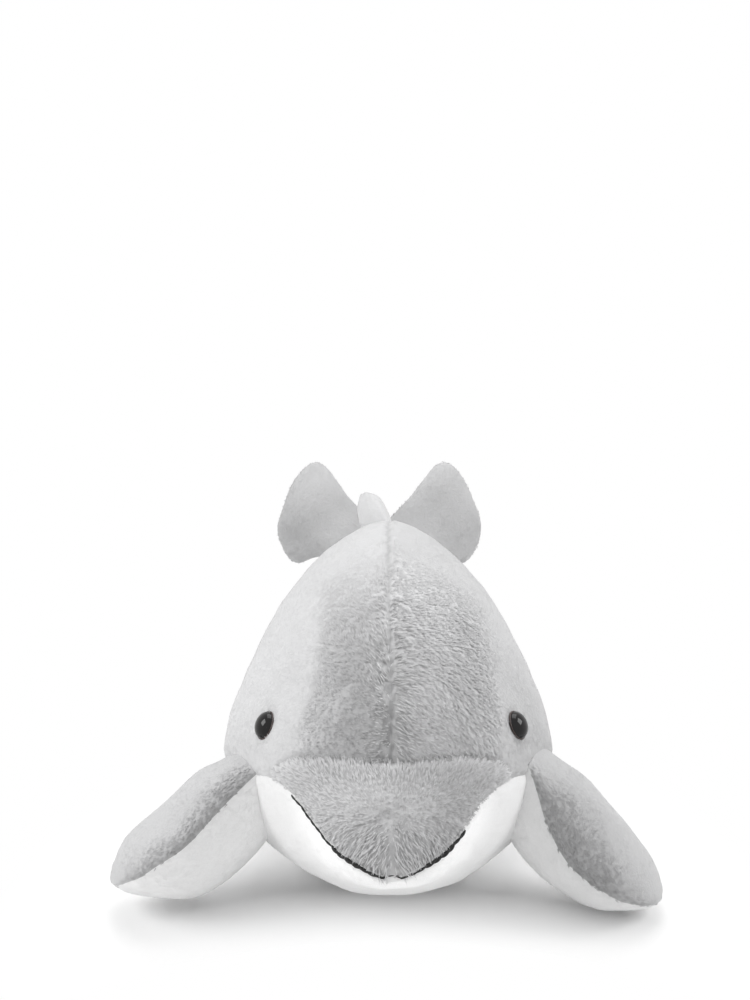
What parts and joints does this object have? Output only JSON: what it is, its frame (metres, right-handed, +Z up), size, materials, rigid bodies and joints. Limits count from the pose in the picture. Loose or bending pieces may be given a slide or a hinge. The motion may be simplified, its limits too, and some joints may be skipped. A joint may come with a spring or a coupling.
{
  "type": "plush dolphin",
  "caption": "Sewn plush dolphin lying on its belly, with a grey back, white belly, black domed eyes, flippers, dorsal fin and tail flukes that flex at their seams.",
  "frame": {"origin": "on the floor, under the middle of the body where the belly lies on it", "axes": "+Z up, -Y towards the beak, +X to the dolphin's own left"},
  "size_m": [0.202, 0.2906, 0.1219],
  "materials": {
    "grey_plush": "short soft pile",
    "white_plush": "short soft pile",
    "fibre_filling": "loose fibre",
    "eye_plastic": "polished",
    "washer_plastic": "moulded",
    "mouth_thread": "thick thread"
  },
  "bodies": {
    "body": {"back_panel_left": "grey_plush", "back_panel_right": "grey_plush", "beak_panel": "grey_plush", "belly_panel": "white_plush", "body_filling": "fibre_filling", "eye_left": "eye_plastic", "eye_washer_left": "washer_plastic", "eye_right": "eye_plastic", "eye_washer_right": "washer_plastic", "mouth_stitch": "mouth_thread"},
    "flipper_left": {"flipper_left_top_panel": "grey_plush", "flipper_left_under_panel": "white_plush", "flipper_left_filling": "fibre_filling"},
    "flipper_right": {"flipper_right_top_panel": "grey_plush", "flipper_right_under_panel": "white_plush", "flipper_right_filling": "fibre_filling"},
    "dorsal_fin": {"dorsal_fin_left_panel": "grey_plush", "dorsal_fin_right_panel": "grey_plush", "dorsal_fin_filling": "fibre_filling"},
    "flukes": {"fluke_left_top_panel": "grey_plush", "fluke_left_under_panel": "grey_plush", "fluke_left_filling": "fibre_filling", "fluke_right_top_panel": "grey_plush", "fluke_right_under_panel": "grey_plush", "fluke_right_filling": "fibre_filling"}
  },
  "joints": [
    {"name": "flipper_left_flex", "type": "hinge", "parent": "body", "child": "flipper_left", "pos_m": [0.05728, -0.079, 0.05368], "axis": [-0.2068, -0.9728, 0.1045], "range_deg": [0, 40], "stiffness_Nm_per_rad": 0.02},
    {"name": "flipper_right_flex", "type": "hinge", "parent": "body", "child": "flipper_right", "pos_m": [-0.05728, -0.079, 0.05368], "axis": [-0.2048, 0.9633, -0.1736], "range_deg": [0, 40], "stiffness_Nm_per_rad": 0.02},
    {"name": "dorsal_fin_flex", "type": "hinge", "parent": "body", "child": "dorsal_fin", "pos_m": [-0.00027, 0.07119, 0.07631], "axis": [-0.0455, 0.8228, -0.5665], "range_deg": [-25, 25], "stiffness_Nm_per_rad": 0.02},
    {"name": "fluke_flex", "type": "hinge", "parent": "body", "child": "flukes", "pos_m": [-0.004, 0.11408, 0.047], "axis": [1, 0, 0], "range_deg": [-25, 25], "stiffness_Nm_per_rad": 0.02}
  ]
}
